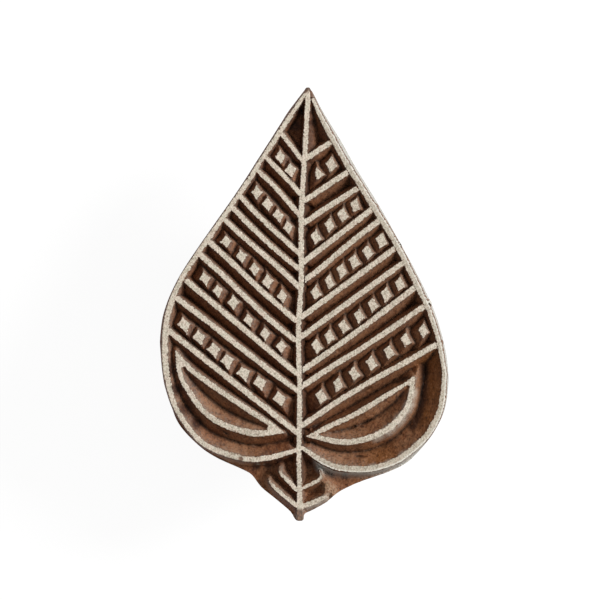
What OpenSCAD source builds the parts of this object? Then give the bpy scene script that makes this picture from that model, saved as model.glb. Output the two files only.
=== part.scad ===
// Wooden textile printing block with a leaf carved in relief, and a nailed wooden grip on its back.
// The block lies face up and stands on the palm face of its grip.
// Millimetres. +X is right and +Y is towards the leaf's tip, seen from above. +Z is up.
// The origin is on the palm face, under the middle of the leaf.

/* [Block] */
// Overall length of the block, from the tip to the end of the stem
block_length = 113; // [95:0.2:140]
// Length of the stem, from where the rim closes on the midrib to its end
stem_length = 18.7; // [14:0.2:24]
// Thickness of the solid wood under the carving
base_thickness = 17; // [14:0.5:26]
// Depth of the carving below the printing face
relief_depth = 5; // [3:0.25:8]
// Ledge left between the foot of the rim and the sawn edge
edge_ledge = 0.3; // [0.1:0.05:0.6]

/* [Leaf] */
// Reach of the left half, from the midrib to the middle of the rim
left_reach = 35.1; // [28:0.1:42]
// Reach of the right half, from the midrib to the middle of the rim
right_reach = 37.5; // [28:0.1:42]
// Height of the left half's widest point above the leaf's base
left_belly = 29; // [16:0.5:34]
// Height of the right half's widest point above the leaf's base
right_belly = 17; // [14:0.5:34]
// How far the left lobe sags below the leaf's base
left_sag = 2.5; // [1:0.1:4]
// How far the right lobe sags below the leaf's base
right_sag = 5; // [1:0.1:6]
// Angle between the left edge and the midrib's line, at the tip
left_tip_angle = 35; // [26:1:40]
// Angle between the right edge and the midrib's line, at the tip
right_tip_angle = 29; // [22:1:40]
// How far the tip leans to the right of the lower midrib
tip_lean = 2.3; // [0:0.1:5]

/* [Raised lines] */
// Width of the rim at the printing face
rim_w = 1.55; // [1.2:0.05:2.6]
// Width of the rim at the leaf's tip
rim_tip_w = 0.8; // [0.6:0.1:1.2]
// Length over which the rim widens from the tip
rim_taper = 20; // [10:1:40]
// Width of the midrib at the printing face
midrib_w = 1.25; // [1:0.05:2]
// Width of the veins at the printing face
vein_w = 1.3; // [1:0.05:2]
// Width of the half-moon loops at the printing face
moon_w = 1.45; // [1:0.05:2.2]
// Width of the half-moon loops at their pointed ends
moon_tip_w = 0.5; // [0.4:0.05:1]
// Length over which a half-moon loop widens from its pointed end
moon_taper = 6; // [3:0.5:10]
// Width of the chevrons on the stem at the printing face
chevron_w = 1.1; // [0.8:0.05:2]

/* [Walls] */
// How far the rim's outer wall and the chevrons' walls run out on their way down to the carved ground
line_draft = 0.4; // [0.2:0.05:0.8]
// How far the rim's inner wall runs out beside the veins
rim_run = 1.9; // [0.8:0.1:3]
// How far the rim's inner wall runs out in the two lobes
lobe_run = 4.4; // [2:0.1:5]
// How far each wall of the midrib runs out
midrib_run = 1.8; // [0.8:0.1:3]
// How far a vein's upper wall runs out
vein_upper_run = 1.3; // [0.6:0.1:2]
// How far a vein's lower wall runs out
vein_lower_run = 2.6; // [1:0.1:3.4]
// How far a half moon's wall towards the vein above it runs out
moon_back_run = 1.7; // [0.6:0.1:3]
// How far a half moon's other walls run out
moon_run = 3.6; // [2:0.1:4]

/* [Studs] */
// Width of a stud at the printing face, from its left corner to its right corner
stud_w = 3.1; // [2.4:0.1:3.6]
// Height of a stud at the printing face, from its lower corner to its upper corner
stud_h = 4.3; // [3:0.1:4.8]
// How far the middle of a stud's side is drawn in from its corners
stud_hollow = 0.15; // [0:0.05:0.5]
// How far each side of a stud runs out on its way down to the carved ground
stud_draft = 1.7; // [0.3:0.05:2]
// Distance from the midrib to where a row of studs starts
stud_root_gap = 4.4; // [3.4:0.1:6]
// Distance from the rim to where a row of studs ends
stud_rim_gap = 3.3; // [2.8:0.1:5]

/* [Grip] */
// Height of the grip, from the palm face to the back of the block
grip_h = 30; // [24:0.5:40]
// Length of the grip along the block
grip_length = 74; // [60:1:90]
// Width of the grip at its palm and at its foot
grip_w = 30; // [24:0.5:36]
// Depth of the finger cove in each side
cove_depth = 6.5; // [4:0.25:9]
// Height of the finger cove's mouth
cove_h = 18; // [14:0.5:20]
// Thickness of the grip's foot, between the cove and the block
foot_t = 5; // [4:0.25:8]
// Radius of the rounded edge round the palm face
palm_round = 3.5; // [1:0.25:5]
// How far the grip's middle is set from the block's middle, towards the stem
grip_setback = 6; // [0:0.5:12]

/* [Nails] */
// Distance between the two nails
nail_spacing = 44; // [30:1:54]
// Radius of a nail's shank
nail_r = 1.3; // [1:0.05:1.8]
// Length of a nail that is driven into the block
nail_grip = 12; // [8:0.5:13]
// Length of a nail's point
nail_point = 4; // [2:0.25:6]
// Radius of a nail's head
head_r = 3.2; // [2.4:0.1:4]
// Thickness of a nail's head
head_t = 1.2; // [0.8:0.1:1.6]
// Depth that a nail's head is sunk below the palm face
head_sink = 0.6; // [0.3:0.1:1.2]
// Clearance round a nail's shank in its bore
nail_clearance = 0.05; // [0.02:0.01:0.2]
// Clearance round a nail's head in its recess
head_clearance = 0.3; // [0.1:0.05:0.6]

/* [Hidden] */
$fn = 64;

// Levels, from the palm face up
back_z = grip_h;
ground_z = back_z + base_thickness;
face_z = ground_z + relief_depth;

// Depth that a raised line is rooted below the carved ground, so that it is one with the block
root_depth = 0.6;

// Places of the leaf: the midrib stands left of the middle by half of the two sides' difference
midrib_x = (left_reach - right_reach) / 2;
stem_y = -block_length / 2;
base_y = stem_y + stem_length;
tip_half_angle = (left_tip_angle + right_tip_angle) / 2;
tip_reach = (rim_tip_w / 2 + line_draft + edge_ledge) / sin(tip_half_angle);
tip_y = block_length / 2 - tip_reach * cos((left_tip_angle - right_tip_angle) / 2);
tip = [midrib_x + tip_lean, tip_y];
leaf_length = tip_y - base_y;

// The two sides of the leaf, and what each has, left first
LEFT = 0;
RIGHT = 1;
way_out = [-1, 1];
reach = [left_reach, right_reach];
belly_rise = [left_belly, right_belly];
lobe_sag = [left_sag, right_sag];
tip_angle = [left_tip_angle, right_tip_angle];
// Fullness of the curves: shares of a curve's own height or width that its handles take
tip_fullness = [0.77, 0.67];
belly_fullness = [0.19, 0.26];
lobe_fullness = [0.66, 0.55];
base_fullness = 0.4;
// The lowest point of each lobe, as a share of that side's reach
sag_place = [0.3, 0.45];
// Angle at which the rim runs down from the midrib
base_angle = 24;
// Steps in each stretch of the rim, in each line of a half moon, and in the midrib
curve_steps = 14;
moon_steps = 10;
midrib_steps = 12;
// Length over which a wall comes down from full run to steep at a line's end
wall_taper = 5;
// Where the rim's inner wall starts and ends to spread for the lobes, as shares of the leaf's length
lobe_spread = [0.6, 0.76];

// Rows of studs on each side, from the tip down. A row lies between two veins, and holds
// [upper vein's root, upper vein's end, lower vein's root, lower vein's end, places of its studs].
// Places of veins are shares of the leaf's length from its tip: a root is on the midrib, an end on
// the rim. Places of studs are shares of the way from the row's start to its end.
left_rows = [
    [0.192, 0.104, 0.292, 0.17, [0, 0.9]],
    [0.362, 0.208, 0.463, 0.28, [0, 0.31, 0.64, 0.97]],
    [0.549, 0.349, 0.641, 0.41, [0.02, 0.26, 0.48, 0.7, 0.95]],
    [0.7, 0.446, 0.792, 0.515, [0.03, 0.22, 0.41, 0.61, 0.78, 0.95]],
    [0.84, 0.573, 0.959, 0.66, [0.06, 0.25, 0.39, 0.54, 0.67, 0.82, 0.96]]
];
right_rows = [
    [0.18, 0.129, 0.302, 0.213, [0, 0.92]],
    [0.363, 0.26, 0.478, 0.318, [0, 0.32, 0.65, 0.96]],
    [0.531, 0.356, 0.632, 0.428, [0, 0.2, 0.4, 0.6, 0.8, 1]],
    [0.686, 0.47, 0.782, 0.538, [0, 0.16, 0.32, 0.49, 0.66, 0.82, 0.98]],
    [0.825, 0.59, 0.931, 0.697, [0.05, 0.21, 0.36, 0.52, 0.69, 0.85, 1]]
];
// The left half has one vein more, between its second and third rows: [root, end]
left_spare_vein = [0.497, 0.322];

// Half-moon loops under the last veins. Points are [share of the side's reach from the midrib,
// share of the leaf's length from its tip], as the handles of one curve for each line.
left_moon_top = [[0.917, 0.722], [0.806, 0.791], [0.393, 0.888], [0.12, 0.952]];
left_moon_bottom = [[0.917, 0.722], [0.87, 0.9], [0.42, 0.985], [0.12, 0.952]];
right_moon_top = [[0.795, 0.797], [0.43, 0.902], [0.06, 0.965]];
right_moon_bottom = [[0.795, 0.797], [0.8, 0.965], [0.4, 1.0], [0.06, 0.965]];

// Chevrons on the stem. Each holds [root on the midrib, reach, rise]: root and rise are shares of
// the stem's length, and reach is a share of that side's reach.
left_chevrons = [[0.61, 0.134, 0.262], [0.824, 0.212, 0.348]];
right_chevrons = [[0.556, 0.144, 0.139], [0.813, 0.171, 0.144]];

// Skirt of plain wood beside the stem: [share of the side's reach, share of the stem's length below
// the leaf's base], from the lobe to the stem's end
left_skirt = [[0.6, 0.05], [0.53, 0.205], [0.36, 0.365], [0.285, 0.545]];
right_skirt = [[0.78, 0.05], [0.725, 0.18], [0.54, 0.375], [0.26, 0.63], [0.215, 0.72]];

// Grip and nails
grip_y = -grip_setback;
cove_r = (cove_h * cove_h / 4 + cove_depth * cove_depth) / (2 * cove_depth);
cove_z = grip_h - foot_t - cove_h / 2;
straight_length = grip_length - grip_w;
shank_z = head_sink + head_t;
bore_r = nail_r + nail_clearance;
recess_r = head_r + head_clearance;
point_r = 0.15;

// A point on a curve with any number of handles, at share t of the way
function along(handles, t) = len(handles) == 1
    ? handles[0]
    : along([for (i = [0:len(handles) - 2]) handles[i] * (1 - t) + handles[i + 1] * t], t);

function curve(handles, steps) = [for (i = [0:steps]) along(handles, i / steps)];

function unit(v) = v / norm(v);

function turned(v) = [-v.y, v.x];

function direction(angle) = [cos(angle), sin(angle)];

// The midrib runs straight up the stem and bows over towards the tip in its upper part
bow_start = base_y + leaf_length / 3;
function rib_x(y) = midrib_x + tip_lean * pow(max(0, (y - bow_start) / (tip_y - bow_start)), 2);

// Height of a place given as a share of the leaf's length from its tip
function leaf_y(share) = tip_y - share * leaf_length;

// The middle of the rim on one side, in three stretches: tip to belly, belly to sag, sag to base
function belly_point(side) = [midrib_x + way_out[side] * reach[side], base_y + belly_rise[side]];
function sag_point(side) =
    [midrib_x + way_out[side] * reach[side] * sag_place[side], base_y - lobe_sag[side]];

function upper_edge(side) = let (
    belly = belly_point(side),
    rise = tip_y - belly.y,
    slant = [way_out[side] * sin(tip_angle[side]), -cos(tip_angle[side])]
) curve([
    tip,
    tip + tip_fullness[side] * rise * slant,
    belly + [0, belly_fullness[side] * rise],
    belly
], curve_steps);

function lobe_edge(side) = let (
    belly = belly_point(side),
    sag = sag_point(side)
) curve([
    belly,
    belly - [0, lobe_fullness[side] * (belly.y - sag.y)],
    sag + [lobe_fullness[side] * (belly.x - sag.x), 0],
    sag
], curve_steps);

function base_edge(side) = let (
    sag = sag_point(side),
    base = [midrib_x, base_y],
    run = abs(sag.x - base.x),
    slope = [way_out[side] * cos(base_angle), -sin(base_angle)]
) curve([
    sag,
    sag + [base_fullness * (base.x - sag.x), 0],
    base + base_fullness * run / 2 * slope,
    base
], curve_steps / 2);

function without_first(list) = [for (i = [1:len(list) - 1]) list[i]];
function backwards(list) = [for (i = [len(list) - 1:-1:0]) list[i]];

function outer_edge(side) = concat(upper_edge(side), without_first(lobe_edge(side)));
function whole_edge(side) = concat(outer_edge(side), without_first(base_edge(side)));

rim_path = concat(backwards(whole_edge(LEFT)), without_first(whole_edge(RIGHT)));
outline_path = concat(backwards(outer_edge(LEFT)), without_first(outer_edge(RIGHT)));

function rim_width(point) = rim_w - (rim_w - rim_tip_w) * max(0, 1 - norm(point - tip) / rim_taper);

// The rim's middle at a height above its lobes
function rim_point(side, y) = [lookup(y, [for (p = outer_edge(side)) [p.y, p.x]]), y];

// A point of the pattern: share of the side's reach from the midrib, share of the leaf's length
function pattern_point(side, place) = let (y = leaf_y(place[1]))
    [rib_x(y) + way_out[side] * reach[side] * place[0], y];

// Sideways step at each point of a path that keeps its two edges parallel to it round a corner
function side_step(path, i) = let (
    before = unit(i > 0 ? path[i] - path[i - 1] : path[1] - path[0]),
    after = unit(i < len(path) - 1 ? path[i + 1] - path[i] : path[i] - path[i - 1]),
    middle = unit(turned(before + after))
) middle / (middle * turned(before));

// A share, held between 0 and 1
function ramp(share) = max(0, min(1, share));

// How far a wall has run out where it ends in the block
function at_root(run) = run * (relief_depth + root_depth) / relief_depth;

// A raised line along a path: flat on the printing face, with walls that run out to its left and
// right by the given lengths, and rooted in the block. Walls of neighbours meet in a valley.
// Only the stretch between two of the path's points is made, with its ends mitred to the rest.
module raised_line(path, widths, left_runs, right_runs, first, last) {
    corners = [for (i = [first:last]) let (
        step = side_step(path, i),
        top = widths[i] / 2,
        foot_z = ground_z - root_depth
    ) each [
        [each path[i] + step * top, face_z],
        [each path[i] - step * top, face_z],
        [each path[i] - step * (top + at_root(right_runs[i])), foot_z],
        [each path[i] + step * (top + at_root(left_runs[i])), foot_z]
    ]];
    sides = [for (i = [0:last - first - 1], k = [0:3]) let (
        a = 4 * i + k,
        b = 4 * i + (k + 1) % 4
    ) each [[a, b + 4, b], [a, a + 4, b + 4]]];
    end = 4 * (last - first);
    caps = [[0, 2, 3], [0, 1, 2], [end, end + 2, end + 1], [end, end + 3, end + 2]];
    polyhedron(corners, concat(sides, caps), convexity = 10);
}

module even_line(path, width, left_runs, right_runs) {
    raised_line(path, [for (p = path) width], left_runs, right_runs, 0, len(path) - 1);
}

// One four-cornered stud with drawn-in sides, turned to the line of its row. It is made square and
// then drawn out along the leaf to its own height.
module stud(centre, angle) {
    spread = at_root(stud_draft);
    half_side = stud_w / 2 / sqrt(2);
    drawn_out = [[1, 0], [0, stud_h / stud_w]];
    levels = [[half_side, face_z], [half_side + spread, ground_z - root_depth]];
    rings = [for (level = levels, k = [0:7]) let (
        corner = k % 2 == 0,
        radius = corner ? level[0] * sqrt(2) : level[0] - stud_hollow
    ) [each centre + drawn_out * (radius * direction(angle + 45 + 45 * k)), level[1]]];
    middles = [[each centre, face_z], [each centre, ground_z - root_depth]];
    tops = [for (k = [0:7]) [16, (k + 1) % 8, k]];
    feet = [for (k = [0:7]) [17, 8 + k, 8 + (k + 1) % 8]];
    sides = [for (k = [0:7]) each [[k, (k + 1) % 8, 8 + (k + 1) % 8], [k, 8 + (k + 1) % 8, 8 + k]]];
    polyhedron(concat(rings, middles), concat(tops, feet, sides), convexity = 4);
}

// Root and end of a vein, from its places on the midrib and on the rim
function vein_root(share) = let (y = leaf_y(share)) [rib_x(y), y];
function vein_end(side, share) = rim_point(side, leaf_y(share));

// A vein's walls get steep at the rim, so that their feet stay inside it
module vein(side, root, end) {
    start = vein_root(root);
    stop = vein_end(side, end);
    before_stop = stop - wall_taper * unit(stop - start);
    upper_runs = [vein_upper_run, vein_upper_run, line_draft];
    lower_runs = [vein_lower_run, vein_lower_run, line_draft];
    even_line(
        [start, before_stop, stop],
        vein_w,
        side == LEFT ? lower_runs : upper_runs,
        side == LEFT ? upper_runs : lower_runs
    );
}

module stud_row(side, row) {
    root = (vein_root(row[0]) + vein_root(row[2])) / 2;
    end = (vein_end(side, row[1]) + vein_end(side, row[3])) / 2;
    way = unit(end - root);
    first = root + stud_root_gap * way;
    last = end - stud_rim_gap * way;
    for (share = row[4])
        stud(first + (last - first) * share, atan2(way.y, way.x));
}

module veins_and_studs(side, rows) {
    for (row = rows) {
        vein(side, row[0], row[1]);
        vein(side, row[2], row[3]);
        stud_row(side, row);
    }
}

// One line of a half moon, drawn to a point at both ends, with its walls towards the leaf's tip and
// towards its base
module moon_line(side, places, upper_run, lower_run) {
    path = curve([for (place = places) pattern_point(side, place)], moon_steps);
    fullness = [for (p = path) ramp(min(norm(p - path[0]), norm(p - path[moon_steps])) / moon_taper)];
    widths = [for (share = fullness) moon_tip_w + (moon_w - moon_tip_w) * share];
    upper_runs = [for (share = fullness) line_draft + (upper_run - line_draft) * share];
    lower_runs = [for (share = fullness) line_draft + (lower_run - line_draft) * share];
    raised_line(
        path,
        widths,
        side == LEFT ? upper_runs : lower_runs,
        side == LEFT ? lower_runs : upper_runs,
        0,
        moon_steps
    );
}

module half_moon(side, top, bottom) {
    moon_line(side, top, moon_back_run, moon_run);
    moon_line(side, bottom, moon_run, moon_run);
}

module chevrons(side, places) {
    for (place = places) {
        root = [midrib_x, base_y - place[0] * stem_length];
        end = root + [way_out[side] * reach[side] * place[1], place[2] * stem_length];
        runs = [line_draft, line_draft];
        even_line([root, end], chevron_w, runs, runs);
    }
}

// Run of the rim's inner wall at a height: short beside the veins, and long in the lobes
function inner_run(y) = let (
    start = leaf_y(lobe_spread[0]),
    full = leaf_y(lobe_spread[1]),
    share = ramp((start - y) / (start - full))
) rim_run + (lobe_run - rim_run) * share;

// The rim's two halves meet in a mitre at the tip
module rim() {
    widths = [for (p = rim_path) rim_width(p)];
    outer_runs = [for (p = rim_path) line_draft];
    inner_runs = [for (p = rim_path) inner_run(p.y)];
    tip_index = len(whole_edge(LEFT)) - 1;
    raised_line(rim_path, widths, outer_runs, inner_runs, 0, tip_index);
    raised_line(rim_path, widths, outer_runs, inner_runs, tip_index, len(rim_path) - 1);
}

// The midrib starts where the two sides of the rim have closed, and ends on the stem's tip. Its walls
// are steep at its top and on the stem.
module midrib() {
    top_y = tip_y - rim_w / 2;
    end_y = stem_y + line_draft + edge_ledge;
    path = [for (i = [0:midrib_steps]) let (y = top_y + (end_y - top_y) * i / midrib_steps) [rib_x(y), y]];
    runs = [for (p = path) let (
        share = ramp(min(top_y - p.y, p.y - base_y) / wall_taper)
    ) line_draft + (midrib_run - line_draft) * share];
    even_line(path, midrib_w, runs, runs);
}

// Outline of the sawn block: outside the rim by its foot and the ledge, with the skirt at the stem
module leaf_outline() {
    last = len(outline_path) - 1;
    polygon([for (i = [0:last]) let (
        p = outline_path[i],
        reach = rim_width(p) / 2 + line_draft + edge_ledge
    ) p + side_step(outline_path, i) * reach]);
}

function skirt_points(side, places) = [for (place = places)
    [midrib_x + way_out[side] * reach[side] * place[0], base_y - stem_length * place[1]]];

module skirt_outline() {
    half_end = midrib_w / 2 + line_draft + edge_ledge;
    polygon(concat(
        skirt_points(LEFT, left_skirt),
        [[midrib_x - half_end, stem_y + half_end], [midrib_x - half_end / 2, stem_y]],
        [[midrib_x + half_end / 2, stem_y], [midrib_x + half_end, stem_y + half_end]],
        backwards(skirt_points(RIGHT, right_skirt))
    ));
}

// Places of the two nails, from the grip's middle
tip_nail_y = grip_y + nail_spacing / 2;
stem_nail_y = grip_y - nail_spacing / 2;

module carved_block() {
    color("saddlebrown")
        difference() {
            union() {
                translate([0, 0, back_z])
                    linear_extrude(base_thickness)
                        union() {
                            leaf_outline();
                            skirt_outline();
                        }
                rim();
                midrib();
                veins_and_studs(LEFT, left_rows);
                veins_and_studs(RIGHT, right_rows);
                vein(LEFT, left_spare_vein[0], left_spare_vein[1]);
                half_moon(LEFT, left_moon_top, left_moon_bottom);
                half_moon(RIGHT, right_moon_top, right_moon_bottom);
                chevrons(LEFT, left_chevrons);
                chevrons(RIGHT, right_chevrons);
            }
            for (y = [tip_nail_y, stem_nail_y])
                translate([0, y, back_z])
                    cylinder(h = nail_grip + nail_clearance, r = bore_r);
        }
}

// Half of the grip's section: a flat palm with a rounded edge, a finger cove and a flat foot
module grip_half_section() {
    difference() {
        union() {
            square([grip_w / 2 - palm_round, grip_h]);
            translate([0, palm_round])
                square([grip_w / 2, grip_h - palm_round]);
            translate([grip_w / 2 - palm_round, palm_round])
                circle(palm_round);
        }
        translate([grip_w / 2 - cove_depth + cove_r, cove_z])
            circle(cove_r);
    }
}

// The grip: the same section all along and round both ends, with bores and head recesses for nails
module handle() {
    color("peru")
        difference() {
            translate([0, grip_y, 0])
                union() {
                    rotate([90, 0, 0])
                        linear_extrude(straight_length, center = true)
                            union() {
                                grip_half_section();
                                mirror([1, 0])
                                    grip_half_section();
                            }
                    translate([0, straight_length / 2, 0])
                        rotate_extrude(angle = 180)
                            grip_half_section();
                    translate([0, -straight_length / 2, 0])
                        rotate([0, 0, 180])
                            rotate_extrude(angle = 180)
                                grip_half_section();
                }
            for (y = [tip_nail_y, stem_nail_y])
                translate([0, y, 0]) {
                    translate([0, 0, -1])
                        cylinder(h = grip_h + 2, r = bore_r);
                    translate([0, 0, -1])
                        cylinder(h = shank_z + 1, r = recess_r);
                }
        }
}

// A round-headed iron nail, driven from the palm side with its head sunk out of the hand's way
module nail() {
    shank_end = back_z + nail_grip;
    color("dimgray")
        union() {
            translate([0, 0, head_sink])
                cylinder(h = head_t, r = head_r);
            translate([0, 0, shank_z])
                cylinder(h = shank_end - nail_point - shank_z, r = nail_r);
            translate([0, 0, shank_end - nail_point])
                cylinder(h = nail_point, r1 = nail_r, r2 = point_r);
        }
}

module tip_nail() {
    translate([0, tip_nail_y, 0])
        nail();
}

module stem_nail() {
    translate([0, stem_nail_y, 0])
        nail();
}

carved_block();
handle();
tip_nail();
stem_nail();
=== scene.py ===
import math

import bpy
import numpy as np
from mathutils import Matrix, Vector, geometry, noise


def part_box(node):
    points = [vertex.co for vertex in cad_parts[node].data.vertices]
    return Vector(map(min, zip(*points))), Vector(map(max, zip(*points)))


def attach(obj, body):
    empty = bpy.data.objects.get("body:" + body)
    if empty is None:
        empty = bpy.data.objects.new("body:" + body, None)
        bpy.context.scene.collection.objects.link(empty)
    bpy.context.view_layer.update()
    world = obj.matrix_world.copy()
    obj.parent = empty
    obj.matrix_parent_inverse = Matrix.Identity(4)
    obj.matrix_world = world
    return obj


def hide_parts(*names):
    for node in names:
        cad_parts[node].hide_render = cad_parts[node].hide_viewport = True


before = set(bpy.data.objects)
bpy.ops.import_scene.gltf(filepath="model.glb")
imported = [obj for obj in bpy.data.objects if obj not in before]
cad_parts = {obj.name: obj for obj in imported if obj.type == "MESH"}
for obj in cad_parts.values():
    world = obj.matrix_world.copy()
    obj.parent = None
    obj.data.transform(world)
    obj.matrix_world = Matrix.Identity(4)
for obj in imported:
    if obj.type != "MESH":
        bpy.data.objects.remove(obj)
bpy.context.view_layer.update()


# Carved block
# One piece of dense brown hardwood, sawn to the outline of a leaf and cut down by hand with chisels, so
# that the lines and studs stand out of it. Their tops meet the cloth, and keep a pale film of the lime
# that was rubbed on before the cutting.

MM = 0.001
block_low, block_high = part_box("carved_block")
low_corner = np.array(block_low[:2]) / MM
high_corner = np.array(block_high[:2]) / MM
face_z = block_high.z / MM
back_z = block_low.z / MM
relief_depth = 5.0
least_depth = 0.02
ground_depth = 4.6
skirt_depth = 4.6
skirt_rise = 0.2

# Places are in millimetres on the face. The middle of the rim on each side, from the tip to the midrib
left_rim = [
    (0.6, 55.0), (-0.9, 53.0), (-2.5, 50.5), (-5.2, 46.5), (-7.7, 42.6), (-11.2, 37.4), (-14.4, 32.2),
    (-18.0, 27.0), (-22.5, 20.5), (-27.1, 14.0), (-32.1, 6.2), (-35.2, -1.6), (-36.2, -9.4),
    (-35.9, -17.2), (-34.2, -25.0), (-31.5, -30.2), (-27.5, -35.2), (-23.2, -37.9), (-16.7, -40.0),
    (-12.8, -40.4), (-10.0, -40.1), (-8.0, -39.75), (-6.0, -39.2), (-4.0, -38.6), (-2.2, -38.0),
]
right_rim = [
    (2.3, 53.2), (3.5, 50.4), (5.5, 46.5), (7.6, 42.6), (10.5, 37.4), (13.7, 32.2), (16.9, 27.0),
    (21.0, 20.5), (24.8, 14.0), (28.7, 6.2), (32.4, -1.6), (34.9, -9.4), (36.35, -17.2), (36.35, -20.0),
    (36.05, -24.0), (35.2, -28.0), (33.3, -32.0), (30.9, -35.3), (24.6, -40.4), (18.4, -42.6),
    (14.5, -42.95), (10.0, -42.7), (8.0, -42.3), (6.0, -41.5), (4.0, -40.5), (2.0, -39.1), (-0.5, -37.4),
]

# Half the rim's width, and the slopes of its inner and outer walls, by the distance from the tip
left_rim_half = [
    (0, 0.4), (8, 0.58), (30, 0.6), (60, 0.66), (75, 0.72), (83, 0.78), (88, 0.66), (94, 0.58), (99, 0.62),
    (109, 0.66), (120, 0.72), (128, 0.6), (133, 0.45),
]
right_rim_half = [
    (0, 0.4), (8, 0.66), (50, 0.72), (62, 0.62), (76, 0.56), (81, 0.56), (86, 0.7), (94, 0.78), (122, 0.8),
    (134, 0.55),
]
left_inner_wall = [
    (0, 4.0), (12, 4.0), (20, 2.6), (60, 2.6), (74, 1.7), (86, 1.4), (100, 1.15), (133, 1.1),
]
right_inner_wall = [
    (0, 1.8), (14, 1.8), (20, 2.6), (62, 2.6), (76, 1.2), (84, 0.8), (100, 0.8), (112, 1.0), (134, 1.1),
]
left_outer_wall = [(0, 8.0), (104, 8.0), (112, 3.4), (133, 2.6)]
right_outer_wall = [(0, 5.5), (106, 5.5), (116, 3.0), (134, 2.4)]

# The sawn edge, from the tip down the left side to the stem's end, and down the right side
left_outline = [
    (0.5, 56.45), (-1.6, 53.7), (-4.1, 50.4), (-6.5, 46.6), (-12.0, 37.9), (-18.0, 28.6), (-24.6, 19.2),
    (-30.9, 9.9), (-34.4, 3.6), (-36.8, -2.6), (-37.65, -8.8), (-37.6, -12.0), (-37.0, -18.2),
    (-36.4, -21.7), (-34.75, -26.65), (-32.6, -31.6), (-28.0, -36.6), (-23.2, -40.0), (-16.2, -43.2),
    (-13.6, -44.7), (-11.2, -47.8), (-7.3, -51.0), (-3.7, -54.1), (-2.6, -55.8), (-1.9, -56.4),
]
right_outline = [
    (1.4, 56.45), (3.0, 53.7), (4.8, 50.4), (7.2, 46.5), (9.6, 42.6), (14.0, 34.8), (19.7, 25.5),
    (24.9, 16.1), (30.1, 6.6), (34.3, -2.6), (36.9, -12.0), (37.65, -18.2), (37.65, -21.3), (36.6, -27.6),
    (33.5, -33.8), (28.5, -40.0), (23.6, -43.2), (15.0, -46.3), (11.9, -47.6), (9.3, -48.9), (7.7, -49.9),
    (5.9, -51.6), (1.5, -54.1), (0.15, -54.6), (-0.1, -55.3), (-0.15, -56.1), (-0.6, -56.4),
]

midrib = [
    (0.95, 55.9), (0.9, 53.0), (0.2, 40.0), (-0.3, 32.2), (-0.8, 21.8), (-0.8, 6.2), (-1.4, -4.2),
    (-1.5, -9.4), (-1.2, -25.0), (-1.4, -38.0), (-1.3, -45.0), (-1.2, -51.0), (-1.2, -55.6),
]
midrib_half = [(0, 0.25), (2.5, 0.62), (40, 0.66), (86, 0.62), (104, 0.58), (108, 0.68), (111.5, 0.8)]
midrib_left_wall = [(0, 1.5), (18, 1.5), (24, 2.8), (112, 2.8)]
midrib_right_wall = [(0, 7.0), (18, 7.0), (24, 4.0), (112, 4.0)]

# Veins: points from the rim to the midrib, and the widths of the knife cuts that part the two ends from
# the rim and from the midrib
left_veins = [
    ([(-5.8, 44.2), (-0.6, 37.4)], 0, 0),
    ([(-9.7, 37.9), (-5.4, 33.4), (-3.2, 31.1), (-1.2, 28.8)], 0, 0),
    ([(-11.8, 34.4), (-8.8, 31.6), (-6.1, 28.7), (-3.5, 25.7), (-0.9, 22.7)], 0, 0),
    ([(-16.5, 27.9), (-12.9, 23.9), (-8.9, 20.1), (-4.9, 16.4), (-0.9, 12.7)], 0, 0),
    ([(-18.4, 24.8), (-14.3, 20.6), (-10.2, 16.6), (-5.9, 12.8), (-1.5, 9.2)], 0, 0),
    ([(-21.1, 22.2), (-16.2, 17.7), (-11.2, 13.4), (-6.2, 9.0), (-1.4, 4.4)], 0, 0),
    ([(-24.5, 15.9), (-19.0, 10.9), (-13.6, 5.7), (-8.0, 0.7), (-2.3, -4.2)], 0, 0),
    ([(-26.8, 12.6), (-20.8, 7.1), (-14.9, 1.4), (-9.0, -4.1), (-2.6, -9.3)], 0, 0),
    ([(-30.5, 5.9), (-2.1, -18.0)], 0, 0),
    ([(-33.0, 1.4), (-25.1, -4.6), (-17.4, -10.7), (-9.7, -16.7), (-1.8, -22.5)], 0, 0),
    ([(-35.2, -7.0), (-2.1, -33.3)], 0, 0),
]
right_veins = [
    ([(7.6, 42.5), (0.0, 37.5)], 0.25, 0), ([(11.9, 34.7), (0.2, 27.0)], 0.35, 0),
    ([(14.6, 30.6), (7.2, 25.9), (-0.1, 21.1)], 0.3, 0), ([(18.4, 25.3), (-0.3, 10.8)], 0.25, 0),
    ([(20.0, 22.1), (14.2, 17.7), (9.2, 13.6), (4.3, 9.4), (-0.8, 5.5)], 0, 0.3),
    ([(24.8, 15.4), (-0.6, -3.3)], 0.25, 0), ([(25.7, 10.7), (-0.8, -8.5)], 0, 0),
    ([(29.5, 4.9), (22.0, -0.9), (14.5, -6.6), (6.8, -12.2), (-1.0, -17.6)], 0.3, 0.25),
    ([(32.5, 0.3), (24.2, -5.3), (15.9, -10.9), (7.3, -16.2), (-1.2, -21.8)], 0.2, 0.25),
    ([(35.3, -10.0), (26.0, -15.3), (18.0, -19.7), (10.0, -24.5), (4.0, -28.5), (-0.6, -31.6)], 0.35, 0),
]
left_vein_half = (0.56, 0.70)
right_vein_half = (0.70, 0.70)
upper_wall = 4.0
lower_wall = 1.9
knife_wall = 3.0

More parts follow.
